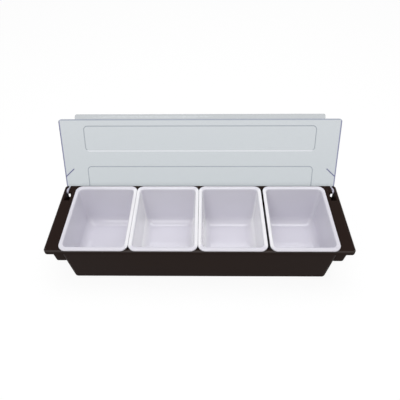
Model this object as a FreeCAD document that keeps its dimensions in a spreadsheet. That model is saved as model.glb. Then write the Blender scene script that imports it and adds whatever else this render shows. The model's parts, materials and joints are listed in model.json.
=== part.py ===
"""Four-compartment condiment holder: a long moulded tub with a rim and two end grips, four
lift-out inserts that hang in it by their rims, and a clear lid hinged at the back.

Millimetres. +Z is up, -Y is the front, +X is the right end seen from the front. The origin is
under the middle of the rim, on the surface that the tub stands on. The lid is built open,
leaning back on the rear lip and the gussets below it, as it stands in use.
"""

import FreeCAD, Part
import os

import Sketcher

# Driving sizes

SIZES = [
    # Tub
    ("rim_length", 500),
    ("rim_depth", 152),
    ("tub_height", 89),
    ("flange_thickness", 3),
    ("lip_drop", 8),
    ("lip_wall", 2.5),
    ("rim_radius", 6),
    ("rim_round", 2.6),
    ("tub_wall", 2.5),
    ("tub_floor", 2.5),
    ("end_ledge", 24),
    ("end_draft", 4),
    ("front_ledge", 2.8),
    ("front_draft", 8.7),
    ("rear_ledge", 7.2),
    ("rear_draft", 8),
    ("tub_radius", 8),
    ("foot_radius", 3),
    # Hollow grips under the end flanges
    ("grip_margin", 2.5),
    ("grip_inset", 11),
    ("grip_depth", 44),
    ("grip_draft", 3),
    ("grip_radius", 6),
    # Inserts
    ("insert_end_lap", 0.55),
    ("insert_side_rim", 6),
    ("insert_end_rim", 7.3),
    ("insert_rim_height", 3),
    ("insert_rim_radius", 12),
    ("insert_front_edge", 0.5),
    ("insert_rear_edge", 5.4),
    ("insert_foot_gap", 7.5),
    ("insert_wall", 2),
    ("insert_side_taper", 3.4),
    ("insert_end_taper", 9),
    ("insert_bend", 10),
    ("insert_rim_chamfer", 1),
    ("insert_gap", 0.4),
    ("insert_last_gap", 3.5),
    # Lid
    ("lid_end_gap", 1),
    ("lid_thickness", 3),
    ("lid_radius", 5),
    ("lid_front_edge", 15.5),
    ("lid_clearance", 0.4),
    ("open_angle", 114.4),
    ("stop_gap", 0.3),
    ("pull_end_margin", 29.5),
    ("pull_reach", 9),
    ("pull_tilt", 24),
    ("pull_thickness", 2.2),
    ("pull_root", 4),
    ("pull_radius", 3),
    ("field_end_margin", 43),
    ("field_recess", 0.8),
    ("field_radius", 7),
    ("front_field_margin", 12),
    ("rear_field_margin", 5),
    ("field_spacing", 29.5),
    # Hinge
    ("hinge_drop", 5),
    ("ear_thickness", 3),
    ("ear_inset", 5.5),
    ("ear_radius", 4.5),
    ("ear_reach", 11.5),
    ("ear_side_gap", 0.6),
    ("ear_end_gap", 0.8),
    ("pin_diameter", 4),
    ("pin_length", 3.6),
    ("pin_clearance", 0.08),
    ("lug_thickness", 4),
    ("lug_rim", 3.5),
    ("window_width", 10),
    ("window_depth", 20),
    ("window_setback", 19),
    # Gussets under the rear flange, where the open lid leans
    ("rest_height", 9),
    ("rest_thickness", 3),
    ("rest_near_middle", 76),
    ("rest_end_margin", 60),
    # Slanting ribs under the lid's rear corners
    ("rib_width", 2),
    ("rib_height", 2),
    ("rib_length", 21),
    ("rib_angle", 42),
    ("rib_setback", 32.5),
    ("rib_margin", 1.2),
]

# Places that follow from the sizes. Each formula reads the size sheet or an earlier place.

PLACES = [
    ("lip_x", "Sizes.rim_length / 2"),
    ("lip_y", "Sizes.rim_depth / 2"),
    ("flange_under", "Sizes.tub_height - Sizes.flange_thickness"),
    ("lip_under", "Sizes.tub_height - Sizes.lip_drop"),
    ("lip_inner_x", "lip_x - Sizes.lip_wall"),
    ("lip_inner_y", "lip_y - Sizes.lip_wall"),
    ("lip_inner_radius", "Sizes.rim_radius - Sizes.lip_wall / 2"),
    ("tub_x", "lip_x - Sizes.end_ledge"),
    ("tub_foot_x", "tub_x - Sizes.end_draft"),
    ("tub_front", "Sizes.front_ledge - lip_y"),
    ("tub_rear", "lip_y - Sizes.rear_ledge"),
    ("tub_foot_front", "tub_front + Sizes.front_draft"),
    ("tub_foot_rear", "tub_rear - Sizes.rear_draft"),
    ("well_x", "tub_x - Sizes.tub_wall"),
    ("well_front", "tub_front + Sizes.tub_wall"),
    ("well_rear", "tub_rear - Sizes.tub_wall"),
    ("well_foot_x", "tub_foot_x - Sizes.tub_wall"),
    ("well_foot_front", "tub_foot_front + Sizes.tub_wall"),
    ("well_foot_rear", "tub_foot_rear - Sizes.tub_wall"),
    ("well_radius", "Sizes.tub_radius - Sizes.tub_wall"),
    ("grip_x", "lip_x - Sizes.grip_margin"),
    ("grip_y", "lip_y - Sizes.grip_inset"),
    ("grip_foot_x", "grip_x - Sizes.grip_draft"),
    ("grip_foot_y", "grip_y - Sizes.grip_draft"),
    ("grip_foot", "Sizes.tub_height - Sizes.grip_depth"),
    ("grip_hollow_x", "grip_x - Sizes.tub_wall"),
    ("grip_hollow_y", "grip_y - Sizes.tub_wall"),
    ("grip_hollow_foot_x", "grip_foot_x - Sizes.tub_wall"),
    ("grip_hollow_foot_y", "grip_foot_y - Sizes.tub_wall"),
    ("grip_hollow_radius", "Sizes.grip_radius - Sizes.tub_wall"),
    ("lean", "Sizes.open_angle - 90"),
    ("lid_rise", "Sizes.insert_rim_height + Sizes.lid_clearance"),
    ("lid_under", "Sizes.hinge_drop + lid_rise"),
    ("hinge_inset", "(lid_under - Sizes.stop_gap + sin(lean * 1 deg) * (Sizes.hinge_drop"
                    " - Sizes.lip_drop)) / cos(lean * 1 deg)"),
    ("hinge_y", "lip_y - hinge_inset"),
    ("hinge_z", "Sizes.tub_height - Sizes.hinge_drop"),
    ("lid_x", "lip_x - Sizes.lid_end_gap"),
    ("ear_outer", "lid_x - Sizes.ear_inset"),
    ("ear_inner", "ear_outer - Sizes.ear_thickness"),
    ("slot_outer", "ear_outer + Sizes.ear_side_gap"),
    ("slot_inner", "ear_inner - Sizes.ear_side_gap"),
    ("lug_inner", "slot_inner - Sizes.lug_thickness"),
    ("lug_radius", "Sizes.pin_diameter / 2 + Sizes.lug_rim"),
    ("pin_radius", "Sizes.pin_diameter / 2"),
    ("bore_radius", "pin_radius + Sizes.pin_clearance"),
    ("window_inner", "slot_outer - Sizes.window_width"),
    ("window_rear", "lip_y - Sizes.window_setback"),
    ("window_front", "window_rear - Sizes.window_depth"),
    ("slot_rear", "lip_y + Sizes.ear_end_gap"),
    ("slot_depth", "Sizes.hinge_drop + Sizes.ear_reach + Sizes.ear_end_gap"),
    ("ear_tip_z", "Sizes.ear_radius - Sizes.ear_reach"),
    ("rest_near_end", "lip_x - Sizes.rest_end_margin"),
    ("rest_foot", "lip_under - Sizes.rest_height"),
    ("rest_foot_y", "lip_y - Sizes.rest_height * tan(lean * 1 deg)"),
    ("insert_front", "Sizes.insert_front_edge - lip_y"),
    ("insert_rear", "lip_y - Sizes.insert_rear_edge"),
    ("insert_mid", "(insert_front + insert_rear) / 2"),
    ("insert_drop", "Sizes.tub_height - Sizes.tub_floor - Sizes.insert_foot_gap"),
    ("insert_row", "2 * (tub_x + Sizes.insert_end_lap)"),
    ("insert_width", "(insert_row - 2 * Sizes.insert_gap - Sizes.insert_last_gap) / 4"),
    ("insert_half_x", "insert_width / 2"),
    ("insert_half_y", "(insert_rear - insert_front) / 2"),
    ("pan_inner_x", "insert_half_x - Sizes.insert_side_rim"),
    ("pan_inner_y", "insert_half_y - Sizes.insert_end_rim"),
    ("pan_outer_x", "pan_inner_x + Sizes.insert_wall"),
    ("pan_outer_y", "pan_inner_y + Sizes.insert_wall"),
    ("side_draft", "atan(Sizes.insert_side_taper / insert_drop)"),
    ("end_draft_angle", "atan(Sizes.insert_end_taper / insert_drop)"),
    ("pan_foot", "-insert_drop"),
    ("foot_chamfer", "2 * Sizes.insert_bend + 2 * Sizes.insert_wall - sqrt(2)"
                     " * (Sizes.insert_bend + Sizes.insert_wall)"),
    ("pan_floor", "pan_foot + Sizes.insert_wall"),
    ("insert_pitch", "insert_width + Sizes.insert_gap"),
    ("insert_1_x", "insert_half_x - insert_row / 2"),
    ("insert_2_x", "insert_1_x + insert_pitch"),
    ("insert_3_x", "insert_2_x + insert_pitch"),
    ("insert_4_x", "insert_row / 2 - insert_half_x"),
    ("lid_front", "Sizes.lid_front_edge - lip_y - hinge_y"),
    ("lid_rear", "lip_y - hinge_y"),
    ("lid_over", "lid_under + Sizes.lid_thickness"),
    ("pull_length", "2 * (lid_x - Sizes.pull_end_margin)"),
    ("pull_low_z", "lid_over - Sizes.pull_thickness"),
    ("pull_tip_y", "lid_front - Sizes.pull_reach * cos(Sizes.pull_tilt * 1 deg)"),
    ("pull_tip_z", "pull_low_z + Sizes.pull_reach * sin(Sizes.pull_tilt * 1 deg)"),
    ("pull_top_y", "pull_tip_y + Sizes.pull_thickness * sin(Sizes.pull_tilt * 1 deg)"),
    ("pull_top_z", "pull_tip_z + Sizes.pull_thickness * cos(Sizes.pull_tilt * 1 deg)"),
    ("pull_run", "Sizes.pull_reach + Sizes.pull_root"),
    ("pull_end_y", "pull_top_y + pull_run * cos(Sizes.pull_tilt * 1 deg)"),
    ("pull_end_z", "pull_top_z - pull_run * sin(Sizes.pull_tilt * 1 deg)"),
    ("field_x", "lid_x - Sizes.field_end_margin"),
    ("field_depth", "(lid_rear - lid_front - Sizes.front_field_margin - Sizes.field_spacing"
                    " - Sizes.rear_field_margin) / 2"),
    ("front_field_front", "lid_front + Sizes.front_field_margin"),
    ("front_field_rear", "front_field_front + field_depth"),
    ("rear_field_front", "front_field_rear + Sizes.field_spacing"),
    ("rear_field_rear", "rear_field_front + field_depth"),
    ("rib_across", "Sizes.rib_length * cos(Sizes.rib_angle * 1 deg)"),
    ("rib_along", "Sizes.rib_length * sin(Sizes.rib_angle * 1 deg)"),
    ("rib_skew_x", "Sizes.rib_width * sin(Sizes.rib_angle * 1 deg)"),
    ("rib_skew_y", "Sizes.rib_width * cos(Sizes.rib_angle * 1 deg)"),
    ("rib_a_x", "lid_x - Sizes.rib_margin"),
    ("rib_a_y", "lid_rear - Sizes.rib_setback"),
    ("rib_b_x", "rib_a_x - rib_skew_x"),
    ("rib_b_y", "rib_a_y + rib_skew_y"),
    ("rib_c_x", "rib_b_x - rib_across"),
    ("rib_c_y", "rib_b_y - rib_along"),
    ("rib_d_x", "rib_a_x - rib_across"),
    ("rib_d_y", "rib_a_y - rib_along"),
]

INSERT_COUNT = 4

doc = FreeCAD.newDocument("condiment_holder")


def fill_sheet(name, rows):
    """A sheet with a label in column A and its value in column B, under that alias."""
    sheet = doc.addObject("Spreadsheet::Sheet", name)
    for number, (alias, content) in enumerate(rows, start=1):
        sheet.set(f"A{number}", alias)
        sheet.set(f"B{number}", content)
        sheet.setAlias(f"B{number}", alias)
    doc.recompute()
    return sheet


sizes = fill_sheet("Sizes", [(alias, str(number)) for alias, number in SIZES])
places = doc.addObject("Spreadsheet::Sheet", "Places")
for row, (alias, formula) in enumerate(PLACES, start=1):
    places.set(f"A{row}", alias)
    places.setAlias(f"B{row}", alias)
for row, (alias, formula) in enumerate(PLACES, start=1):
    places.set(f"B{row}", "=" + formula)
doc.recompute()

PLACE_NAMES = {alias for alias, formula in PLACES}


def link(alias):
    """The expression that reads an alias from the sheet that holds it."""
    return f"Places.{alias}" if alias in PLACE_NAMES else f"Sizes.{alias}"


def read(alias):
    """The number that an alias has now."""
    sheet = places if alias in PLACE_NAMES else sizes
    return float(sheet.get(alias))


# Sketch helpers

ORIGIN = (-1, 1)


def new_body(label):
    body = doc.addObject("PartDesign::Body", label)
    body.Label = label
    return body


def origin_plane(body, role):
    for feature in body.Origin.OriginFeatures:
        if feature.Role == role:
            return feature
    raise LookupError(role)


def new_sketch(body, name, role, level=None):
    """A sketch on one of the body's own planes, raised to a level that a sheet gives."""
    sketch = body.newObject("Sketcher::SketchObject", name)
    sketch.AttachmentSupport = [(origin_plane(body, role), "")]
    sketch.MapMode = "FlatFace"
    if level:
        sketch.setExpression("AttachmentOffset.Base.z", level)
    return sketch


def pin_to(sketch, kind, curve, point, text, number):
    """Holds a point's distance from the sketch origin along X or Y to an expression."""
    if number < 0:
        rule = Sketcher.Constraint(kind, curve, point, *ORIGIN, -number)
        text = f"-({text})"
    else:
        rule = Sketcher.Constraint(kind, *ORIGIN, curve, point, number)
    index = sketch.addConstraint(rule)
    sketch.setExpression(f"Constraints[{index}]", text)


def side(name, sign=1):
    """One side of an outline: its expression and its present number."""
    text = link(name)
    return (text, read(name)) if sign > 0 else (f"-{text}", -read(name))


def rounded_box(sketch, west, east, south, north, radius):
    """A rectangle with four equal round corners; each side is held from the origin."""
    bend = read(radius)
    x0, x1, y0, y1 = west[1], east[1], south[1], north[1]
    corners = [(x1 - bend, y0 + bend), (x1 - bend, y1 - bend),
               (x0 + bend, y1 - bend), (x0 + bend, y0 + bend)]
    runs = [((x0 + bend, y0), (x1 - bend, y0)), ((x1, y0 + bend), (x1, y1 - bend)),
            ((x1 - bend, y1), (x0 + bend, y1)), ((x0, y1 - bend), (x0, y0 + bend))]
    first = sketch.GeometryCount
    half_pi = 1.5707963267948966
    for number in range(4):
        start, end = (FreeCAD.Vector(*point, 0) for point in runs[number])
        sketch.addGeometry(Part.LineSegment(start, end), False)
        centre = FreeCAD.Vector(*corners[number], 0)
        circle = Part.Circle(centre, FreeCAD.Vector(0, 0, 1), bend)
        begin = (number - 1) * half_pi
        sketch.addGeometry(Part.ArcOfCircle(circle, begin, begin + half_pi), False)
    for number in range(4):
        line, arc = first + 2 * number, first + 2 * number + 1
        following = first + 2 * ((number + 1) % 4)
        sketch.addConstraint(Sketcher.Constraint("Tangent", line, 2, arc, 1))
        sketch.addConstraint(Sketcher.Constraint("Tangent", arc, 2, following, 1))
        sketch.addConstraint(
            Sketcher.Constraint("Vertical" if number % 2 else "Horizontal", line))
        if number:
            sketch.addConstraint(Sketcher.Constraint("Equal", first + 1, arc))
    index = sketch.addConstraint(Sketcher.Constraint("Radius", first + 1, bend))
    sketch.setExpression(f"Constraints[{index}]", link(radius))
    pin_to(sketch, "DistanceY", first, 1, *south)
    pin_to(sketch, "DistanceX", first + 2, 1, *east)
    pin_to(sketch, "DistanceY", first + 4, 1, *north)
    pin_to(sketch, "DistanceX", first + 6, 1, *west)


def outline(body, name, level, x_side, south, north, radius):
    """A rounded rectangle about the middle of the length, on a level plane."""
    sketch = new_sketch(body, name, "XY_Plane", level)
    rounded_box(sketch, side(x_side, -1), side(x_side), south, north, radius)
    return sketch


def plain_box(sketch, west, east, south, north):
    """A rectangle with square corners; each side is held from the origin."""
    x0, x1, y0, y1 = west[1], east[1], south[1], north[1]
    ring = [(x0, y0), (x1, y0), (x1, y1), (x0, y1)]
    first = sketch.GeometryCount
    for number in range(4):
        start = FreeCAD.Vector(*ring[number], 0)
        end = FreeCAD.Vector(*ring[(number + 1) % 4], 0)
        sketch.addGeometry(Part.LineSegment(start, end), False)
    for number in range(4):
        line, following = first + number, first + (number + 1) % 4
        sketch.addConstraint(Sketcher.Constraint("Coincident", line, 2, following, 1))
        sketch.addConstraint(
            Sketcher.Constraint("Vertical" if number % 2 else "Horizontal", line))
    pin_to(sketch, "DistanceY", first, 1, *south)
    pin_to(sketch, "DistanceX", first + 1, 1, *east)
    pin_to(sketch, "DistanceY", first + 2, 1, *north)
    pin_to(sketch, "DistanceX", first + 3, 1, *west)


def polygon(sketch, corners):
    """A closed run of straight edges; every corner is held from the origin."""
    points = [FreeCAD.Vector(read(across), read(up), 0) for across, up in corners]
    first, count = sketch.GeometryCount, len(corners)
    for number in range(count):
        line = Part.LineSegment(points[number], points[(number + 1) % count])
        sketch.addGeometry(line, False)
    for number, (across, up) in enumerate(corners):
        line, following = first + number, first + (number + 1) % count
        sketch.addConstraint(Sketcher.Constraint("Coincident", line, 2, following, 1))
        pin_to(sketch, "DistanceX", line, 1, *side(across))
        pin_to(sketch, "DistanceY", line, 1, *side(up))


def tongue(sketch, centre_y, centre_z, radius, top):
    """A straight-sided tongue with a round lower end about a centre, on the YZ plane."""
    cy, cz, bend, high = centre_y[1], centre_z[1], read(radius), top[1]
    first = sketch.GeometryCount
    circle = Part.Circle(FreeCAD.Vector(cy, cz, 0), FreeCAD.Vector(0, 0, 1), bend)
    corners = [(cy - bend, cz), (cy - bend, high), (cy + bend, high), (cy + bend, cz)]
    sketch.addGeometry(Part.ArcOfCircle(circle, 3.141592653589793, 6.283185307179586), False)
    for number in (2, 1, 0):
        start = FreeCAD.Vector(*corners[number + 1], 0)
        end = FreeCAD.Vector(*corners[number], 0)
        sketch.addGeometry(Part.LineSegment(start, end), False)
    arc, right, across, left = first, first + 1, first + 2, first + 3
    sketch.addConstraint(Sketcher.Constraint("Tangent", arc, 2, right, 1))
    sketch.addConstraint(Sketcher.Constraint("Coincident", right, 2, across, 1))
    sketch.addConstraint(Sketcher.Constraint("Coincident", across, 2, left, 1))
    sketch.addConstraint(Sketcher.Constraint("Tangent", left, 2, arc, 1))
    sketch.addConstraint(Sketcher.Constraint("Vertical", right))
    sketch.addConstraint(Sketcher.Constraint("Vertical", left))
    sketch.addConstraint(Sketcher.Constraint("Horizontal", across))
    index = sketch.addConstraint(Sketcher.Constraint("Radius", arc, bend))
    sketch.setExpression(f"Constraints[{index}]", link(radius))
    hold_centre(sketch, arc, centre_y, centre_z)
    pin_to(sketch, "DistanceY", across, 1, *top)


def hold_centre(sketch, curve, centre_y, centre_z):
    """Places a circle's or arc's centre; a centre at zero lies on the origin itself."""
    if centre_y[1] == 0 and centre_z[1] == 0:
        sketch.addConstraint(Sketcher.Constraint("Coincident", curve, 3, *ORIGIN))
        return
    if centre_y[1] == 0:
        sketch.addConstraint(Sketcher.Constraint("Vertical", curve, 3, *ORIGIN))
    else:
        pin_to(sketch, "DistanceX", curve, 3, *centre_y)
    pin_to(sketch, "DistanceY", curve, 3, *centre_z)


def disc(sketch, centre_y, centre_z, radius):
    """A circle on the YZ plane."""
    centre = FreeCAD.Vector(centre_y[1], centre_z[1], 0)
    curve = sketch.addGeometry(
        Part.Circle(centre, FreeCAD.Vector(0, 0, 1), read(radius)), False)
    index = sketch.addConstraint(Sketcher.Constraint("Radius", curve, read(radius)))
    sketch.setExpression(f"Constraints[{index}]", link(radius))
    hold_centre(sketch, curve, centre_y, centre_z)


# Feature helpers

def pad(body, name, sketch, length, reverse=False):
    feature = body.newObject("PartDesign::Pad", name)
    feature.Profile = sketch
    feature.setExpression("Length", length)
    feature.Reversed = reverse
    sketch.Visibility = False
    return feature


def pocket(body, name, sketch, length, reverse=False):
    """A cut along the sketch's normal; reverse turns it round."""
    feature = body.newObject("PartDesign::Pocket", name)
    feature.Profile = sketch
    feature.setExpression("Length", length)
    feature.Reversed = reverse
    return feature


def loft(body, name, first, second, cut=False):
    kind = "PartDesign::SubtractiveLoft" if cut else "PartDesign::AdditiveLoft"
    feature = body.newObject(kind, name)
    feature.Profile = first
    feature.Sections = [second]
    feature.Ruled = True
    return feature


def mirrored(body, name, features):
    """Copies features to the other end, across the middle of the length."""
    feature = body.newObject("PartDesign::Mirrored", name)
    feature.Originals = features
    feature.MirrorPlane = (origin_plane(body, "YZ_Plane"), [""])
    body.Tip = feature
    return feature


def names_where(kind, items, accept):
    """Names, such as Edge7, of the edges or faces that pass a test."""
    return [f"{kind}{number}" for number, item in enumerate(items, start=1) if accept(item)]


def fillet(body, name, radius, accept):
    """Rounds the edges of the body so far that pass a test."""
    doc.recompute()
    base = body.Tip
    feature = body.newObject("PartDesign::Fillet", name)
    feature.Base = (base, names_where("Edge", base.Shape.Edges, accept))
    feature.setExpression("Radius", radius)
    return feature


def chamfer(body, name, size, accept):
    """Bevels the edges of the body so far that pass a test."""
    doc.recompute()
    base = body.Tip
    feature = body.newObject("PartDesign::Chamfer", name)
    feature.Base = (base, names_where("Edge", base.Shape.Edges, accept))
    feature.setExpression("Size", size)
    return feature


def draft(body, name, angle, outward, accept):
    """Slants the faces of the body so far that pass a test, about its XY plane, so that they
    come closer together downwards: outer faces that look outward, or a hollow's inner ones."""
    doc.recompute()
    base = body.Tip
    feature = body.newObject("PartDesign::Draft", name)
    feature.Base = (base, names_where("Face", base.Shape.Faces, accept))
    feature.NeutralPlane = (origin_plane(body, "XY_Plane"), [""])
    feature.Reversed = outward
    feature.setExpression("Angle", angle)
    return feature


def level_at(edge, height):
    """Whether an edge lies flat at a height."""
    return near(edge.BoundBox.ZMin, height) and near(edge.BoundBox.ZMax, height)


def reaches(edge, height):
    """Whether an edge's lowest point is at a height."""
    return near(edge.BoundBox.ZMin, height)


def slanting(edge):
    """Whether an edge runs down a corner of the walls."""
    return edge.BoundBox.ZLength > max(edge.BoundBox.XLength, edge.BoundBox.YLength)


def near(first, second):
    return abs(first - second) < 1e-4


# Tub

def build_tub():
    body = new_body("tub")
    rim = outline(body, "rim_outline", link("tub_height"), "lip_x",
                  side("lip_y", -1), side("lip_y"), "rim_radius")
    pad(body, "rim_block", rim, "Sizes.lip_drop", reverse=True)
    top = read("tub_height")
    fillet(body, "rim_edge", "Sizes.rim_round", lambda edge: level_at(edge, top))
    inside = outline(body, "lip_inside", link("lip_under"), "lip_inner_x",
                     side("lip_inner_y", -1), side("lip_inner_y"), "lip_inner_radius")
    pocket(body, "under_flange", inside, "Sizes.lip_drop - Sizes.flange_thickness",
           reverse=True)

    grip_top = new_sketch(body, "grip_top", "XY_Plane", link("flange_under"))
    rounded_box(grip_top, side("tub_foot_x"), side("grip_x"), side("grip_y", -1),
                side("grip_y"), "grip_radius")
    grip_bottom = new_sketch(body, "grip_bottom", "XY_Plane", link("grip_foot"))
    rounded_box(grip_bottom, side("tub_foot_x"), side("grip_foot_x"), side("grip_foot_y", -1),
                side("grip_foot_y"), "grip_radius")
    grip = loft(body, "grip", grip_bottom, grip_top)
    hollow_top = new_sketch(body, "grip_hollow_top", "XY_Plane", link("flange_under"))
    rounded_box(hollow_top, side("tub_foot_x"), side("grip_hollow_x"),
                side("grip_hollow_y", -1), side("grip_hollow_y"), "grip_hollow_radius")
    hollow_bottom = new_sketch(body, "grip_hollow_bottom", "XY_Plane", link("grip_foot"))
    rounded_box(hollow_bottom, side("tub_foot_x"), side("grip_hollow_foot_x"),
                side("grip_hollow_foot_y", -1), side("grip_hollow_foot_y"),
                "grip_hollow_radius")
    hollow = loft(body, "grip_hollow", hollow_bottom, hollow_top, cut=True)
    mirrored(body, "other_grip", [grip, hollow])

    rests = []
    for spot in ("rest_near_middle", "rest_near_end"):
        rest_sketch = new_sketch(body, spot, "YZ_Plane", link(spot))
        polygon(rest_sketch, [("tub_foot_rear", "flange_under"), ("tub_foot_rear", "rest_foot"),
                              ("rest_foot_y", "rest_foot"), ("lip_y", "lip_under"),
                              ("lip_inner_y", "flange_under")])
        rests.append(pad(body, spot + "_gusset", rest_sketch, "Sizes.rest_thickness"))
    mirrored(body, "other_gussets", rests)

    tub_top = outline(body, "tub_top", link("tub_height"), "tub_x",
                      side("tub_front"), side("tub_rear"), "tub_radius")
    tub_foot = outline(body, "tub_foot", None, "tub_foot_x",
                       side("tub_foot_front"), side("tub_foot_rear"), "tub_radius")
    loft(body, "tub_walls", tub_foot, tub_top)
    fillet(body, "foot_round", "Sizes.foot_radius", lambda edge: level_at(edge, 0))
    well_top = outline(body, "well_top", link("tub_height"), "well_x",
                       side("well_front"), side("well_rear"), "well_radius")
    well_foot = outline(body, "well_foot", link("tub_floor"), "well_foot_x",
                        side("well_foot_front"), side("well_foot_rear"), "well_radius")
    loft(body, "well", well_foot, well_top, cut=True)

    window = new_sketch(body, "window_outline", "XY_Plane", link("tub_height"))
    plain_box(window, side("window_inner"), side("slot_outer"), side("window_front"),
              side("window_rear"))
    window_cut = pocket(body, "hinge_window", window, "Sizes.flange_thickness")
    slot = new_sketch(body, "slot_outline", "XY_Plane", link("tub_height"))
    plain_box(slot, side("slot_inner"), side("slot_outer"), side("window_rear"),
              side("slot_rear"))
    slot_cut = pocket(body, "hinge_slot", slot, link("slot_depth"))
    mirrored(body, "other_slot", [window_cut, slot_cut])

    lug_sketch = new_sketch(body, "lug_outline", "YZ_Plane", link("lug_inner"))
    tongue(lug_sketch, side("hinge_y"), side("hinge_z"), "lug_radius", side("flange_under"))
    lug = pad(body, "lug", lug_sketch, "Sizes.lug_thickness")
    bore_sketch = new_sketch(body, "bore_outline", "YZ_Plane", link("lug_inner"))
    disc(bore_sketch, side("hinge_y"), side("hinge_z"), "bore_radius")
    bore = pocket(body, "pin_bore", bore_sketch, "Sizes.lug_thickness", reverse=True)
    mirrored(body, "other_lug", [lug, bore])
    return body


# Inserts

def build_insert(number):
    """An insert, its own origin in the middle of the rim's underside. The pan and its inside
    are boxes with drafted walls, then rounded."""
    body = new_body(f"insert_{number}")
    tag = f"_{number}"
    foot, floor = read("pan_foot"), read("pan_floor")
    pan = new_sketch(body, "pan_outline" + tag, "XY_Plane")
    plain_box(pan, side("pan_outer_x", -1), side("pan_outer_x"), side("pan_outer_y", -1),
              side("pan_outer_y"))
    pad(body, "pan" + tag, pan, link("insert_drop"), reverse=True)
    rim = outline(body, "rim" + tag, None, "insert_half_x",
                  side("insert_half_y", -1), side("insert_half_y"), "insert_rim_radius")
    pad(body, "rim_plate" + tag, rim, "Sizes.insert_rim_height")
    inside = new_sketch(body, "inside_outline" + tag, "XY_Plane", "Sizes.insert_rim_height")
    plain_box(inside, side("pan_inner_x", -1), side("pan_inner_x"), side("pan_inner_y", -1),
              side("pan_inner_y"))
    pocket(body, "pan_inside" + tag, inside, "Sizes.insert_rim_height - Places.pan_floor")

    for skin, outward in (("inner", False), ("outer", True)):
        for across, angle in (("x", "side_draft"), ("y", "end_draft_angle")):
            place = read(f"pan_{skin}_{across}")
            draft(body, f"{skin}_{across}_draft{tag}", link(angle), outward,
                  lambda face: near(abs(getattr(face.CenterOfMass, across)), place))
    fillet(body, "inner_bends" + tag, "Sizes.insert_bend",
           lambda edge: reaches(edge, floor))
    fillet(body, "outer_corners" + tag, "Sizes.insert_bend + Sizes.insert_wall",
           lambda edge: slanting(edge) and reaches(edge, foot))
    chamfer(body, "foot_edge" + tag, link("foot_chamfer"), lambda edge: level_at(edge, foot))
    rim_top, rim_x = read("insert_rim_height"), read("insert_half_x")
    chamfer(body, "rim_edge" + tag, "Sizes.insert_rim_chamfer",
            lambda edge: level_at(edge, rim_top) and near(edge.BoundBox.XMax, rim_x))
    body.setExpression("Placement.Base.x", link(f"insert_{number}_x"))
    body.setExpression("Placement.Base.y", link("insert_mid"))
    body.setExpression("Placement.Base.z", "Sizes.tub_height")
    return body


# Lid, in a frame of its own with the hinge axis as its X axis, as it lies when closed

def build_lid():
    body = new_body("lid")
    panel = outline(body, "panel_outline", link("lid_under"), "lid_x",
                    side("lid_front"), side("lid_rear"), "lid_radius")
    pad(body, "panel", panel, "Sizes.lid_thickness")

    fields = new_sketch(body, "field_outlines", "XY_Plane", link("lid_over"))
    for south, north in (("front_field_front", "front_field_rear"),
                         ("rear_field_front", "rear_field_rear")):
        rounded_box(fields, side("field_x", -1), side("field_x"), side(south), side(north),
                    "field_radius")
    pocket(body, "fields", fields, "Sizes.field_recess")

    pull_sketch = new_sketch(body, "pull_outline", "YZ_Plane")
    polygon(pull_sketch, [("lid_front", "pull_low_z"), ("pull_tip_y", "pull_tip_z"),
                          ("pull_top_y", "pull_top_z"), ("pull_end_y", "pull_end_z")])
    pull = pad(body, "pull", pull_sketch, link("pull_length"))
    pull.SideType = "Symmetric"
    tip_y, top_y = read("pull_tip_y"), read("pull_top_y")
    fillet(body, "pull_corners", "Sizes.pull_radius",
           lambda edge: near(edge.BoundBox.YMin, tip_y) and near(edge.BoundBox.YMax, top_y)
           and edge.BoundBox.XLength < edge.BoundBox.YLength)

    rib_sketch = new_sketch(body, "rib_outline", "XY_Plane", link("lid_under"))
    polygon(rib_sketch, [("rib_a_x", "rib_a_y"), ("rib_b_x", "rib_b_y"),
                         ("rib_c_x", "rib_c_y"), ("rib_d_x", "rib_d_y")])
    rib = pad(body, "rib", rib_sketch, "Sizes.rib_height", reverse=True)

    ear_sketch = new_sketch(body, "ear_outline", "YZ_Plane", link("ear_inner"))
    axis = ("0", 0)
    tongue(ear_sketch, axis, side("ear_tip_z"), "ear_radius", side("lid_under"))
    ear = pad(body, "ear", ear_sketch, "Sizes.ear_thickness")
    pin_sketch = new_sketch(body, "pin_outline", "YZ_Plane", link("ear_inner"))
    disc(pin_sketch, axis, axis, "pin_radius")
    pin = pad(body, "pin", pin_sketch, "Sizes.pin_length", reverse=True)
    mirrored(body, "other_end", [rib, ear, pin])
    body.setExpression("Placement.Base.y", link("hinge_y"))
    body.setExpression("Placement.Base.z", link("hinge_z"))
    body.Placement.Rotation = FreeCAD.Rotation(FreeCAD.Vector(1, 0, 0), -read("open_angle"))
    body.setExpression("Placement.Rotation.Angle", "-Sizes.open_angle")
    return body


bodies = [build_tub()]
for insert_number in range(1, INSERT_COUNT + 1):
    bodies.append(build_insert(insert_number))
bodies.append(build_lid())
doc.recompute()

# Checks, then the files

failed = []
for item in doc.Objects:
    if {"Invalid", "Error"} & set(item.State):
        failed.append(f"{item.Label}: {item.State}")
for body in bodies:
    if body.Shape.isNull() or not body.Shape.isValid() or len(body.Shape.Solids) != 1:
        failed.append(f"{body.Label}: shape")
if failed:
    raise RuntimeError("; ".join(failed))

os.makedirs("parts", exist_ok=True)
for body in bodies:
    body.Shape.exportStep(f"parts/{body.Label}.step")
    box = body.Shape.BoundBox
    print(body.Label, round(body.Shape.Volume), [round(value, 2) for value in (
        box.XMin, box.XMax, box.YMin, box.YMax, box.ZMin, box.ZMax)])
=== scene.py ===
"""Looks of the condiment holder: a dark moulded tub, four white inserts and a clear lid.

Blender's units are metres. Sizes here are named in millimetres, and MM turns them into metres.
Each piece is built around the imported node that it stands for, in the same frame.
"""
import json
import math

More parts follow.
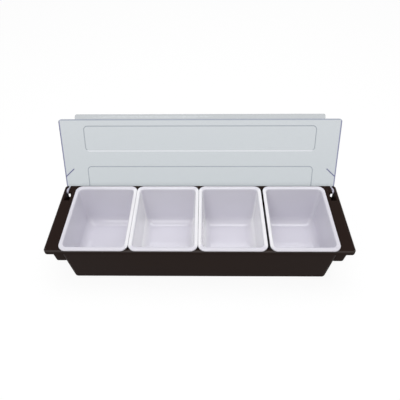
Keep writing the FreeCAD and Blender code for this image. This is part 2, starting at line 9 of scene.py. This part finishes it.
import bmesh
import bpy
import numpy as np
from mathutils import Matrix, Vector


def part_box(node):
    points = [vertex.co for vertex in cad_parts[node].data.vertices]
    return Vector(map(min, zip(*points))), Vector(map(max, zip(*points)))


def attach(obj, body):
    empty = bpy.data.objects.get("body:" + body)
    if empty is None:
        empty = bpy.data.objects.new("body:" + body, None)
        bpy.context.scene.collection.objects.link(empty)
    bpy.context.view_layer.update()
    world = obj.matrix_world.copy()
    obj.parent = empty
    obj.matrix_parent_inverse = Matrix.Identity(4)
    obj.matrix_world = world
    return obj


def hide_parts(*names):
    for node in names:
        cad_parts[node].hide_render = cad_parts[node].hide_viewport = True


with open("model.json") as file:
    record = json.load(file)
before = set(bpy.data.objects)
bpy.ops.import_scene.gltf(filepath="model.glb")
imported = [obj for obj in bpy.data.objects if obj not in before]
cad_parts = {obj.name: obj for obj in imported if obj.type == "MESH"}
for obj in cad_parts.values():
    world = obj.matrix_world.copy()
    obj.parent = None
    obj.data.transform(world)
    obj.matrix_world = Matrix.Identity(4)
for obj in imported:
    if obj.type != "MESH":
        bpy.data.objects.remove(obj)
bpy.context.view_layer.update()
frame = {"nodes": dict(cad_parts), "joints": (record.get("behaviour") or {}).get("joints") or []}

MM = 0.001

# Camera, as fitted to the rim's corners in the photograph: its place in metres, its turns in
# radians

IMAGE_WIDTH = 400
FOCAL_PIXELS = 397.96
SENSOR_MM = 36.0
CAMERA_PLACE = (0.01176, -0.45480, 0.60168)
CAMERA_PITCH = 0.80484
CAMERA_YAW = 0.02238
CAMERA_ROLL = -0.01537

# Inserts: how many stand in the tub, and the sizes of their section, in millimetres

INSERT_COUNT = 4
SIDE_RIM = 6.0
END_RIM = 7.3
RIM_HEIGHT = 3.0
RIM_CORNER = 12.0
INSERT_WALL = 2.0
SIDE_TAPER = 3.4
END_TAPER = 9.0
INNER_CORNER = 8.0
FLOOR_BEND = 15.0
FOOT_BEND = 12.0
RIM_UNDER_BEND = 0.5
RIM_OUTER_BEND = 0.8
RIM_INNER_BEND = 2.4
FLOOR_MARGIN = 30.0
CENTRE_CORNER = 1.0
WALL_CROWN = 0.45

# Painted light through the inserts' walls, as a whiter base colour: the rim's share of a wall's,
# the part of a wall over which it fades, and how far below the rim, in millimetres, still counts
# as the rim

RIM_THROUGH = 0.5
WALL_FADE = 0.12
RIM_MARGIN = 1.0

# Tub: its top, the eased edges and the rounding of its lip, in millimetres. The normal of a
# face of the rounding rises between the two shares: less is the skirt, more is the flange.

TUB_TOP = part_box("tub")[1].z / MM
TUB_EASE = 0.35
LIP_ROUND = 2.6
LIP_RISE = (0.08, 0.995)

# Lid: the hinge, and the closed panel's place from it, in millimetres

HINGE = next(joint for joint in frame["joints"] if joint["name"] == "lid_hinge")
HINGE_Y = HINGE["pos_m"][1] / MM
HINGE_Z = HINGE["pos_m"][2] / MM
OPEN_ANGLE = math.radians(HINGE["range_deg"][1])
LID_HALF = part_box("lid")[1].x / MM
LID_EASE = 0.4
PANEL_UNDER = 8.4
PANEL_FRONT = 129.0
PANEL_REAR = 7.5
FIELD_END = 43.0
FIELD_CORNER = 7.0
FIELDS = ((-117.0, -72.0), (-42.5, 2.5))

# Lid: a face whose normal rises less than EDGE_RISE is an edge or a step. Faces lower than the
# panel by more than UNDER_MARGIN are ribs, or ears within EAR_REACH of the hinge.

EDGE_RISE = 0.3
UNDER_MARGIN = 0.1
EAR_REACH = 15.0

# Lid: the painted lines of light and shade along its edges and field steps, in millimetres. Each
# is full within its first distance and gone beyond its second. A field's line is a painted
# highlight from BRIGHT_FROM before its rear edge, and painted shade elsewhere.

END_LINE = (1.2, 2.2)
FRONT_LINE = (0.6, 1.4)
FRONT_LINE_INSET = 0.9
FIELD_LINE = (0.5, 1.3)
BRIGHT_FROM = 1.5

# Inserts: the steps of their skins' arcs, sides, bends and straight runs, and in degrees the
# angle past which an edge stays sharp

ARC_STEPS = 12
SIDE_STEPS = 14
BEND_STEPS = 10
RUN_STEPS = 8
SKIN_SHARP = 60

# Tub and lid: how near points are merged, in millimetres, and in degrees the angles within
# which facets lie in one flat, and past which an edge is eased or stays sharp

MERGE_WITHIN = 0.001
FLAT_WITHIN = 0.4
EASE_FROM = 30
EASE_SEGMENTS = 2
SOLID_SHARP = 40

# Stage: half the table's side in metres, how much of it shows as plain white, the strength of
# that white, and the surround's light on the holder, where 1 is white

TABLE_HALF = 4.0
TABLE_WHITE = 0.88
TABLE_GLOW = 1.03
SURROUND_LIGHT = 0.5


# Surfaces

def mesh_object(name, points, faces):
    """A new object at the origin whose mesh holds these points and faces."""
    mesh = bpy.data.meshes.new(name)
    mesh.from_pydata(points.tolist(), [], faces)
    made = bpy.data.objects.new(name, mesh)
    bpy.context.scene.collection.objects.link(made)
    return made


def rings(half_x, half_y, radius, height):
    """Rounded rectangles, one for each station: a quarter circle about each corner's centre,
    and straight sides between the quarters. Returns stations by points by x, y, z."""
    arcs = []
    signs = ((1, 1), (-1, 1), (-1, -1), (1, -1))
    for quarter, (sign_x, sign_y) in enumerate(signs):
        angle = quarter * np.pi / 2 + np.linspace(0, np.pi / 2, ARC_STEPS + 1)
        across = sign_x * (half_x - radius)[:, None] + radius[:, None] * np.cos(angle)
        along = sign_y * (half_y - radius)[:, None] + radius[:, None] * np.sin(angle)
        arcs.append(np.stack([across, along], -1))
    share = np.linspace(0, 1, SIDE_STEPS + 1)[1:-1][None, :, None]
    stretches = []
    for quarter, arc in enumerate(arcs):
        start, end = arc[:, -1:], arcs[(quarter + 1) % len(arcs)][:, :1]
        stretches += [arc, start * (1 - share) + end * share]
    flat = np.concatenate(stretches, 1)
    level = np.broadcast_to(height[:, None, None], flat.shape[:2] + (1,))
    return np.concatenate([flat, level], -1)


def rounded_path(stations, bends):
    """Control stations (rows of half width, half depth, corner radius, height) joined by
    straight runs. Each inner station is rounded by a conic arc of a circle's weight that
    leaves the run one bend before the station and joins the next run one bend after it. A
    run's length is the root of its rise squared plus the mean of its sideways steps squared."""
    stations = np.array(stations, float)
    steps = np.diff(stations, axis=0)
    lengths = np.sqrt((steps[:, 0] ** 2 + steps[:, 1] ** 2) / 2 + steps[:, 3] ** 2)
    share = np.linspace(0, 1, BEND_STEPS + 1)[:, None]
    weight = math.sqrt(0.5)
    first, middle, last = (1 - share) ** 2, 2 * weight * share * (1 - share), share ** 2
    path = [stations[:1]]
    for number, bend in enumerate(bends, start=1):
        here = stations[number]
        before = here - steps[number - 1] * bend / lengths[number - 1]
        after = here + steps[number] * bend / lengths[number]
        run = np.linspace(path[-1][-1], before, RUN_STEPS + 1)[1:-1]
        arc = (first * before + middle * here + last * after) / (first + middle + last)
        path += [run, arc]
    path.append(np.linspace(path[-1][-1], stations[-1], RUN_STEPS + 1)[1:])
    return np.concatenate(path)


def ring_faces(stations, count):
    """Quads between neighbouring rings of this many points, and a fan at each end. The fans'
    centres are the two points that follow the rings."""
    around, onward = np.arange(count), (np.arange(count) + 1) % count
    row = np.arange(stations - 1)[:, None] * count
    quads = np.stack([row + around, row + onward, row + count + onward,
                      row + count + around], -1).reshape(-1, 4)
    last_row, first_centre = (stations - 1) * count, stations * count
    first_fan = np.stack([np.full(count, first_centre), onward, around], -1)
    last_fan = np.stack([np.full(count, first_centre + 1), last_row + around,
                         last_row + onward], -1)
    return quads.tolist() + first_fan.tolist() + last_fan.tolist()


def smooth(made, sharp_degrees):
    """Smooth shading that keeps edges sharper than the angle."""
    made.data.shade_smooth()
    made.data.set_sharp_from_angle(angle=math.radians(sharp_degrees))


def face_outwards(made):
    """Points all faces of a closed mesh outwards."""
    work = bmesh.new()
    work.from_mesh(made.data)
    bmesh.ops.recalc_face_normals(work, faces=work.faces)
    work.to_mesh(made.data)
    work.free()


def finished_copy(node, name, ease_mm):
    """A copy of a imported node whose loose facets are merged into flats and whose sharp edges
    are eased, as a mould leaves them. The flats keep level normals up to the eased edges."""
    mesh = frame["nodes"][node].data.copy()
    mesh.name = name
    work = bmesh.new()
    work.from_mesh(mesh)
    bmesh.ops.remove_doubles(work, verts=work.verts, dist=MERGE_WITHIN * MM)
    bmesh.ops.dissolve_limit(work, angle_limit=math.radians(FLAT_WITHIN), verts=work.verts,
                             edges=work.edges)
    work.to_mesh(mesh)
    work.free()
    made = bpy.data.objects.new(name, mesh)
    bpy.context.scene.collection.objects.link(made)
    ease = made.modifiers.new("eased edges", "BEVEL")
    ease.width = ease_mm * MM
    ease.segments = EASE_SEGMENTS
    ease.limit_method = "ANGLE"
    ease.angle_limit = math.radians(EASE_FROM)
    ease.use_clamp_overlap = True
    ease.miter_outer = "MITER_ARC"
    smooth(made, SOLID_SHARP)
    level = made.modifiers.new("flats kept level", "WEIGHTED_NORMAL")
    level.keep_sharp = True
    level.weight = 100
    return made


# Pieces

def insert_piece(number):
    """An insert: one closed skin carried along the section from under the foot, up outside,
    round the rim, down inside and across the floor. Each inner wall crowns into the pan by
    half a sine wave over its height, less towards its ends by the square of the distance."""
    node = f"insert_{number}"
    low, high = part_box(node)
    centre = (low + high) / 2
    half_x, half_y = (high.x - low.x) / 2 / MM, (high.y - low.y) / 2 / MM
    foot, top = low.z / MM, high.z / MM
    under, floor = top - RIM_HEIGHT, foot + INSERT_WALL
    in_x, in_y = half_x - SIDE_RIM, half_y - END_RIM
    out_x, out_y = in_x + INSERT_WALL, in_y + INSERT_WALL
    outer_corner = INNER_CORNER + INSERT_WALL
    stations = [
        (out_x - SIDE_TAPER - FLOOR_MARGIN, out_y - END_TAPER - FLOOR_MARGIN, CENTRE_CORNER,
         foot),
        (out_x - SIDE_TAPER, out_y - END_TAPER, outer_corner, foot),
        (out_x, out_y, outer_corner, under),
        (half_x, half_y, RIM_CORNER, under),
        (half_x, half_y, RIM_CORNER, top),
        (in_x, in_y, INNER_CORNER, top),
        (in_x - SIDE_TAPER, in_y - END_TAPER, INNER_CORNER, floor),
        (in_x - SIDE_TAPER - FLOOR_MARGIN, in_y - END_TAPER - FLOOR_MARGIN, CENTRE_CORNER,
         floor),
    ]
    bends = (FOOT_BEND, RIM_UNDER_BEND, RIM_UNDER_BEND, RIM_OUTER_BEND, RIM_INNER_BEND,
             FLOOR_BEND)
    path = rounded_path(stations, bends)
    points = rings(*path.T)
    inner_from = len(path) - (RUN_STEPS + BEND_STEPS + RUN_STEPS)
    wall = points[inner_from:]
    rise = np.clip((wall[..., 2] - floor) / (top - floor), 0, 1)
    bow = WALL_CROWN * np.sin(np.pi * rise)
    share_x, share_y = np.abs(wall[..., 0]) / in_x, np.abs(wall[..., 1]) / in_y
    on_side = share_x > share_y
    side_bow = np.where(on_side, bow * (1 - np.clip(share_y, 0, 1) ** 2), 0)
    end_bow = np.where(on_side, 0, bow * (1 - np.clip(share_x, 0, 1) ** 2))
    wall[..., 0] -= np.sign(wall[..., 0]) * side_bow
    wall[..., 1] -= np.sign(wall[..., 1]) * end_bow
    poles = np.array([[0, 0, foot], [0, 0, floor]])
    placed = np.concatenate([points.reshape(-1, 3), poles]) * MM + (centre.x, centre.y, 0)
    made = mesh_object(node + "_moulding", placed, ring_faces(*points.shape[:2]))
    share = wall_share(points, inner_from, in_x, in_y, under)
    painted_light_through(made, share, neighbour_sides(number))
    face_outwards(made)
    smooth(made, SKIN_SHARP)
    return made


def neighbour_sides(number):
    """The sides, left as -1 and right as 1, on which another insert stands."""
    return [side for side in (-1, 1) if 1 <= number + side <= INSERT_COUNT]


def wall_share(points, inner_from, in_x, in_y, under):
    """How far each point of the skin belongs to an inner side wall, with the sign of its side:
    the mask for the painted light through the wall. It is how much more of the half width than
    of the half depth the point has reached, times its height above the floor, both cut off at
    one after the fade. The rim above the wall gets a set part of it, and the outside none."""
    beside = np.abs(points[..., 0]) / in_x - np.abs(points[..., 1]) / in_y
    floor = points[inner_from:, :, 2].min()
    height = (points[..., 2] - floor) / (under - floor)
    share = np.clip(beside / WALL_FADE, 0, 1) * np.clip(height / WALL_FADE, 0, 1)
    # The rim above a wall gets part of the painted light too
    share[:inner_from] *= RIM_THROUGH * (points[:inner_from, :, 2] > under - RIM_MARGIN)
    return np.sign(points[..., 0]) * share


def painted_light_through(made, share, sides):
    """Stores the share of painted light on a wall, which stands in for light that reaches it
    through the insert beside it, on the sides where one stands. The fans' two centres get none."""
    # Painted light: the share of light through the next insert, summed over the sides with a
    # neighbour
    lit = sum(np.clip(share * side, 0, 1) for side in sides).reshape(-1)
    values = np.concatenate([lit, np.zeros(2)])
    stored = made.data.attributes.new("painted_light_through", "FLOAT", "POINT")
    stored.data.foreach_set("value", values.astype(np.float32))


def face_places(made):
    """The centre, in millimetres, and the normal of each face, as rows of x, y, z."""
    faces = made.data.polygons
    centres, normals = np.empty(len(faces) * 3), np.empty(len(faces) * 3)
    faces.foreach_get("center", centres)
    faces.foreach_get("normal", normals)
    return centres.reshape(-1, 3) / MM, normals.reshape(-1, 3)


def lip_faces(made):
    """Gives the rounded top edge of the tub's lip, which hands rub smooth, its own slot: the
    faces near the top whose normals lean."""
    centres, normals = face_places(made)
    height, rise = centres[:, 2], normals[:, 2]
    worn = (height > TUB_TOP - LIP_ROUND) & (rise > LIP_RISE[0]) & (rise < LIP_RISE[1])
    made.data.polygons.foreach_set("material_index", worn.astype(np.int32))


def lid_faces(made):
    """Sorts the lid's faces by where they look: the panel's flats and the pull stay clear
    (slot 0), the panel's thin edges, field steps and ribs take a dark violet painted reflection
    (slot 1), and the hinge ears are rough with painted light (slot 2). Centres and normals are
    turned back from the open angle into the closed lid's frame, so that its top looks along Z."""
    centres, normals = face_places(made)
    cos, sin = math.cos(OPEN_ANGLE), math.sin(OPEN_ANGLE)
    turn = np.array([[1, 0, 0], [0, cos, -sin], [0, sin, cos]])
    centres = (centres - (0, HINGE_Y, HINGE_Z)) @ turn.T
    normals = normals @ turn.T
    panel = centres[:, 2] > PANEL_UNDER - UNDER_MARGIN
    edge_on = np.abs(normals[:, 2]) < EDGE_RISE
    pull = panel & (centres[:, 1] < -PANEL_FRONT)
    rib = ~panel & (centres[:, 1] < -EAR_REACH)
    ear = ~panel & ~rib
    slots = np.select([ear, rib | (panel & edge_on & ~pull)], [2, 1], 0)
    made.data.polygons.foreach_set("material_index", slots.astype(np.int32))


# Materials

def linear(code):
    """A colour written as sRGB hex, as linear red, green, blue and full alpha."""
    values = np.array([int(code[start:start + 2], 16) for start in (0, 2, 4)]) / 255
    spread = np.where(values <= 0.04045, values / 12.92, ((values + 0.055) / 1.055) ** 2.4)
    return (*spread.tolist(), 1.0)


def add_node(tree, kind, inputs=None, **settings):
    """One node with its settings. An input takes a plain value, the socket that feeds it, or
    the node whose first live output does."""
    made = tree.nodes.new(kind)
    for name, value in settings.items():
        setattr(made, name, value)
    for name, value in (inputs or {}).items():
        if isinstance(value, bpy.types.Node):
            value = next(output for output in value.outputs if output.enabled)
        if isinstance(value, bpy.types.NodeSocket):
            tree.links.new(value, made.inputs[name])
        else:
            made.inputs[name].default_value = value
    return made


def new_material(name):
    """An empty node material and its tree."""
    made = bpy.data.materials.new(name)
    made.use_nodes = True
    made.node_tree.nodes.clear()
    return made, made.node_tree


def moulded_polypropylene(name, shine):
    """Dark brown polypropylene, injection moulded in a fine spark-eroded tool: a satin skin
    with a fine grain and faint cloudy flow marks. The real grain, near 0.2 mm, is too fine to
    show, so it is drawn at 0.7 mm."""
    grain_mm, flow_mm = 0.7, 60.0
    material, tree = new_material(name)
    place = add_node(tree, "ShaderNodeTexCoord").outputs["Object"]
    grain = add_node(tree, "ShaderNodeTexNoise",
                     {"Vector": place, "Scale": 1 / (grain_mm * MM), "Detail": 2.0})
    flow = add_node(tree, "ShaderNodeTexNoise",
                    {"Vector": place, "Scale": 1 / (flow_mm * MM), "Detail": 3.0})
    tone = add_node(tree, "ShaderNodeMix",
                    {"Factor": flow, "A": linear("251b18"), "B": linear("2a201c")},
                    data_type="RGBA")
    gloss = add_node(tree, "ShaderNodeMapRange",
                     {"Value": flow, "To Min": 0.40, "To Max": 0.52})
    bump = add_node(tree, "ShaderNodeBump",
                    {"Height": grain, "Strength": 0.25, "Distance": 0.02 * MM})
    shader = add_node(tree, "ShaderNodeBsdfPrincipled",
                      {"Base Color": tone, "Roughness": gloss, "Normal": bump,
                       "IOR": 1.49, "Specular IOR Level": shine})
    add_node(tree, "ShaderNodeOutputMaterial", {"Surface": shader})
    return material


def gloss_polystyrene():
    """White polystyrene with a cool lavender tint, moulded in a polished tool: glossy, with a
    slight waviness from shrinkage. Where light would come through from the next insert, the base
    colour is painted whiter: painted light."""
    wave_mm = 38.0
    material, tree = new_material("gloss polystyrene")
    place = add_node(tree, "ShaderNodeTexCoord").outputs["Object"]
    wave = add_node(tree, "ShaderNodeTexNoise",
                    {"Vector": place, "Scale": 1 / (wave_mm * MM), "Detail": 1.0})
    tone = add_node(tree, "ShaderNodeMix",
                    {"Factor": wave, "A": linear("d9d7e0"), "B": linear("dedce5")},
                    data_type="RGBA")
    through = add_node(tree, "ShaderNodeAttribute", attribute_name="painted_light_through")
    # Painted light: the base colour turns white by the stored share of light through the next
    # insert
    painted_light_colour = add_node(tree, "ShaderNodeMix",
                       {"Factor": through.outputs["Fac"], "A": tone, "B": linear("ffffff")},
                       data_type="RGBA")
    bump = add_node(tree, "ShaderNodeBump",
                    {"Height": wave, "Strength": 0.35, "Distance": 0.6 * MM})
    shader = add_node(tree, "ShaderNodeBsdfPrincipled",
                      {"Base Color": painted_light_colour, "Roughness": 0.07, "Normal": bump,
                       "IOR": 1.55})
    add_node(tree, "ShaderNodeOutputMaterial", {"Surface": shader})
    return material


def closed_place(tree):
    """Object coordinates of the lid, turned about its hinge into the closed lid's frame."""
    place = add_node(tree, "ShaderNodeTexCoord").outputs["Object"]
    cos, sin = math.cos(OPEN_ANGLE), math.sin(OPEN_ANGLE)
    shift = (0, -(HINGE_Y * cos - HINGE_Z * sin) * MM, -(HINGE_Y * sin + HINGE_Z * cos) * MM)
    return add_node(tree, "ShaderNodeMapping",
                    {"Vector": place, "Location": shift, "Rotation": (OPEN_ANGLE, 0, 0)},
                    vector_type="POINT")


def field_outline(tree, place, south, north):
    """Distance from a field's rounded outline. With q how far a point is past the corners'
    centres on each axis, it is the length of q's positive part, plus the larger number of q
    where that is negative, less the corner radius, without its sign."""
    middle = (0, (south + north) / 2 * MM, 0)
    half = ((LID_HALF - FIELD_END - FIELD_CORNER) * MM,
            ((north - south) / 2 - FIELD_CORNER) * MM, 0)
    past = place
    for operation, other in (("SUBTRACT", middle), ("MULTIPLY", (1, 1, 0)),
                             ("ABSOLUTE", (0, 0, 0)), ("SUBTRACT", half)):
        past = add_node(tree, "ShaderNodeVectorMath", {0: past, 1: other},
                        operation=operation)
    positive = add_node(tree, "ShaderNodeVectorMath", {0: past, 1: (0, 0, 0)},
                        operation="MAXIMUM")
    length = add_node(tree, "ShaderNodeVectorMath", {0: positive}, operation="LENGTH")
    parts = add_node(tree, "ShaderNodeSeparateXYZ", {0: past}).outputs
    larger = add_node(tree, "ShaderNodeMath", {0: parts["X"], 1: parts["Y"]},
                      operation="MAXIMUM")
    negative = add_node(tree, "ShaderNodeMath", {0: larger, 1: 0.0}, operation="MINIMUM")
    both = add_node(tree, "ShaderNodeMath", {0: length, 1: negative}, operation="ADD")
    signed = add_node(tree, "ShaderNodeMath", {0: both, 1: FIELD_CORNER * MM},
                      operation="SUBTRACT")
    return add_node(tree, "ShaderNodeMath", {0: signed}, operation="ABSOLUTE")


def panel_colour(tree, place):
    """The panel's faint blue-grey, which deepens from front to rear, and over it painted lines
    of
    light and shade: a violet painted reflection along the cut ends, a grey one along the front
    edge, and round each field a line of painted shade and a painted highlight. A line's share
    falls with the distance from it."""
    axes = add_node(tree, "ShaderNodeSeparateXYZ", {0: place}).outputs
    across, along = axes["X"], axes["Y"]
    fade = add_node(tree, "ShaderNodeMapRange",
                    {"Value": along, "From Min": -PANEL_FRONT * MM,
                     "From Max": PANEL_REAR * MM})
    tone = add_node(tree, "ShaderNodeMix",
                    {"Factor": fade, "A": linear("ced3d7"), "B": linear("c6ccd0")},
                    data_type="RGBA")
    on_pull = add_node(tree, "ShaderNodeMath", {0: along, 1: -PANEL_FRONT * MM},
                       operation="LESS_THAN")
    colour = add_node(tree, "ShaderNodeMix",
                      {"Factor": on_pull, "A": tone, "B": linear("c6cacd")},
                      data_type="RGBA")
    aside = add_node(tree, "ShaderNodeMath", {0: across}, operation="ABSOLUTE")
    from_end = add_node(tree, "ShaderNodeMath", {0: LID_HALF * MM, 1: aside},
                        operation="SUBTRACT")
    ahead = add_node(tree, "ShaderNodeMath",
                     {0: along, 1: (PANEL_FRONT - FRONT_LINE_INSET) * MM}, operation="ADD")
    from_front = add_node(tree, "ShaderNodeMath", {0: ahead}, operation="ABSOLUTE")
    # Painted reflection: violet along the cut ends, grey along the front edge
    lines = [(from_end, END_LINE, linear("8688a8")),
             (from_front, FRONT_LINE, linear("a6adb9"))]
    for south, north in FIELDS:
        # Painted highlight behind each field's rear step, painted shade round the rest of it
        painted_highlight_side = add_node(tree, "ShaderNodeMath", {0: along, 1: (north - BRIGHT_FROM) * MM},
                          operation="GREATER_THAN")
        tint = add_node(tree, "ShaderNodeMix",
                        {"Factor": painted_highlight_side, "A": linear("a9b0b6"), "B": linear("eef0f4")},
                        data_type="RGBA")
        lines.append((field_outline(tree, place, south, north), FIELD_LINE, tint))
    for distance, (full, gone), tint in lines:
        share = add_node(tree, "ShaderNodeMapRange",
                         {"Value": distance, "From Min": full * MM, "From Max": gone * MM,
                          "To Min": 1.0, "To Max": 0.0})
        colour = add_node(tree, "ShaderNodeMix", {"Factor": share, "A": colour, "B": tint},
                          data_type="RGBA")
    return colour


def clear_panel():
    """Clear styrene acrylonitrile, moulded in a polished tool: glass-clear, with a slight
    ripple. Its
    colour carries painted lines: a violet painted reflection along the cut ends, and at the
    steps of the two fields one line of painted shade and one painted highlight. Lamps shine
    through it."""
    ripple_mm = 55.0
    material, tree = new_material("clear styrene")
    place = closed_place(tree)
    ripple = add_node(tree, "ShaderNodeTexNoise",
                      {"Vector": place, "Scale": 1 / (ripple_mm * MM), "Detail": 1.0})
    bump = add_node(tree, "ShaderNodeBump",
                    {"Height": ripple, "Strength": 0.2, "Distance": 0.3 * MM})
    shader = add_node(tree, "ShaderNodeBsdfPrincipled",
                      {"Base Color": panel_colour(tree, place), "Roughness": 0.03,
                       "Normal": bump, "IOR": 1.57, "Transmission Weight": 1.0})
    ray = add_node(tree, "ShaderNodeLightPath")
    window = add_node(tree, "ShaderNodeBsdfTransparent", {"Color": linear("eef1f3")})
    mix = add_node(tree, "ShaderNodeMixShader",
                   {0: ray.outputs["Is Shadow Ray"], 1: shader, 2: window})
    add_node(tree, "ShaderNodeOutputMaterial", {"Surface": mix})
    return material


def styrene_edge(name, code, roughness, transmission):
    """The same clear styrene where it is cut square, or rough on the hinge ears: faint 3 mm
    mould marks, and a flat colour painted on for the light seen there, a painted dark reflection
    on cut edges and painted light on the ears."""
    mark_mm = 3.0
    material, tree = new_material(name)
    place = add_node(tree, "ShaderNodeTexCoord").outputs["Object"]
    mark = add_node(tree, "ShaderNodeTexNoise",
                    {"Vector": place, "Scale": 1 / (mark_mm * MM), "Detail": 1.0})
    bump = add_node(tree, "ShaderNodeBump",
                    {"Height": mark, "Strength": 0.2, "Distance": 0.05 * MM})
    shader = add_node(tree, "ShaderNodeBsdfPrincipled",
                      {"Base Color": linear(code), "Roughness": roughness, "Normal": bump,
                       "IOR": 1.57, "Transmission Weight": transmission})
    add_node(tree, "ShaderNodeOutputMaterial", {"Surface": shader})
    return material


def paint(made, *materials):
    """Fills a piece's material slots, which puts all its faces on the first."""
    made.data.materials.clear()
    for material in materials:
        made.data.materials.append(material)


def put(made, node, slot, *materials):
    """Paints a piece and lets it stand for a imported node, on that node's body."""
    paint(made, *materials)
    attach(made, "lid" if node == "lid" else "tub")
    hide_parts(node)


# Stage, lamps and camera

def white_to_sight(tree):
    """One for rays from the lens and for rays in gloss or glass, none for the rest."""
    ray = add_node(tree, "ShaderNodeLightPath").outputs
    seen = add_node(tree, "ShaderNodeMath",
                    {0: ray["Is Camera Ray"], 1: ray["Is Glossy Ray"]}, operation="MAXIMUM")
    return add_node(tree, "ShaderNodeMath", {0: seen, 1: ray["Is Transmission Ray"]},
                    operation="MAXIMUM")


def white_table():
    """A matt white table that shows as white to the lens and in gloss or glass, and takes
    the holder's soft shadow."""
    points = TABLE_HALF * np.array([[-1, -1, 0], [1, -1, 0], [1, 1, 0], [-1, 1, 0]])
    floor = mesh_object("floor", points, [(0, 1, 2, 3)])
    material, tree = new_material("matt white table")
    share = add_node(tree, "ShaderNodeMath", {0: white_to_sight(tree), 1: TABLE_WHITE},
                     operation="MULTIPLY")
    matt = add_node(tree, "ShaderNodeBsdfDiffuse", {"Color": linear("f3f3f3")})
    glow = add_node(tree, "ShaderNodeEmission",
                    {"Color": linear("ffffff"), "Strength": TABLE_GLOW})
    mix = add_node(tree, "ShaderNodeMixShader", {0: share, 1: matt, 2: glow})
    add_node(tree, "ShaderNodeOutputMaterial", {"Surface": mix})
    paint(floor, material)


def area_lamp(name, place, target, size, watts):
    """A soft lamp of this width and height in metres, aimed at a point."""
    data = bpy.data.lights.new(name, "AREA")
    data.shape = "RECTANGLE"
    data.size, data.size_y = size
    data.energy = watts
    lamp = bpy.data.objects.new(name, data)
    bpy.context.scene.collection.objects.link(lamp)
    lamp.location = place
    aim = np.array(target) - np.array(place)
    lamp.rotation_euler = (math.atan2(math.hypot(aim[0], aim[1]), -aim[2]), 0,
                           math.atan2(aim[1], aim[0]) - math.pi / 2)


def studio():
    """Two soft lamps, and a surround that lights the holder a little and shows as white."""
    world = bpy.data.worlds.new("pale surround")
    world.use_nodes = True
    bpy.context.scene.world = world
    tree = world.node_tree
    back = tree.nodes["Background"]
    back.inputs["Color"].default_value = linear("ffffff")
    strength = add_node(tree, "ShaderNodeMapRange",
                        {"Value": white_to_sight(tree), "To Min": SURROUND_LIGHT,
                         "To Max": 1.0})
    tree.links.new(strength.outputs["Result"], back.inputs["Strength"])
    area_lamp("front soft lamp", place=(-0.25, -0.85, 0.95), target=(-0.05, 0, 0.05),
              size=(0.5, 0.9), watts=3.4)
    area_lamp("top soft lamp", place=(0.1, 0.25, 1.5), target=(0, 0, 0.05),
              size=(1.2, 0.8), watts=9.7)


def photo_camera():
    """The photograph's view: forward from pitch and yaw, then a turn about it by the roll."""
    forward = np.array([-math.sin(CAMERA_YAW) * math.cos(CAMERA_PITCH),
                        math.cos(CAMERA_YAW) * math.cos(CAMERA_PITCH),
                        -math.sin(CAMERA_PITCH)])
    level = np.array([math.cos(CAMERA_YAW), math.sin(CAMERA_YAW), 0])
    raised = np.cross(level, forward)
    right = math.cos(CAMERA_ROLL) * level + math.sin(CAMERA_ROLL) * raised
    up = math.cos(CAMERA_ROLL) * raised - math.sin(CAMERA_ROLL) * level
    data = bpy.data.cameras.new("camera")
    data.sensor_width = SENSOR_MM
    data.lens = FOCAL_PIXELS / IMAGE_WIDTH * SENSOR_MM
    camera = bpy.data.objects.new("camera", data)
    bpy.context.scene.collection.objects.link(camera)
    place = np.eye(4)
    place[:3, :3] = np.stack([right, up, -forward], 1)
    place[:3, 3] = CAMERA_PLACE
    camera.matrix_world = Matrix(place.tolist())
    bpy.context.scene.camera = camera


brown = moulded_polypropylene("moulded polypropylene", shine=0.02)
brown_lip = moulded_polypropylene("moulded polypropylene, worn smooth on the lip", shine=0.3)
white = gloss_polystyrene()
clear = clear_panel()
# Painted dark reflection: the cut edges, field steps and ribs are coloured violet-grey
clear_edge = styrene_edge("clear styrene, cut edge with painted dark reflection", "6f7098", roughness=0.3,
                          transmission=0.2)
# Painted light: the rough hinge ears are coloured a light lavender, as a lit edge
clear_ear = styrene_edge("clear styrene, rough hinge ear with painted light", "cfcddd", roughness=0.55,
                         transmission=0.25)

# Painting puts all faces on the first slot, so faces are sorted after it

tub = finished_copy("tub", "tub_moulding", TUB_EASE)
put(tub, "tub", "tub_plastic", brown, brown_lip)
lip_faces(tub)

for insert_number in range(1, INSERT_COUNT + 1):
    put(insert_piece(insert_number), f"insert_{insert_number}", "insert_plastic", white)

lid = finished_copy("lid", "lid_moulding", LID_EASE)
put(lid, "lid", "clear_plastic", clear, clear_edge, clear_ear)
lid_faces(lid)

white_table()
studio()
photo_camera()
bpy.context.scene.view_settings.view_transform = "Standard"
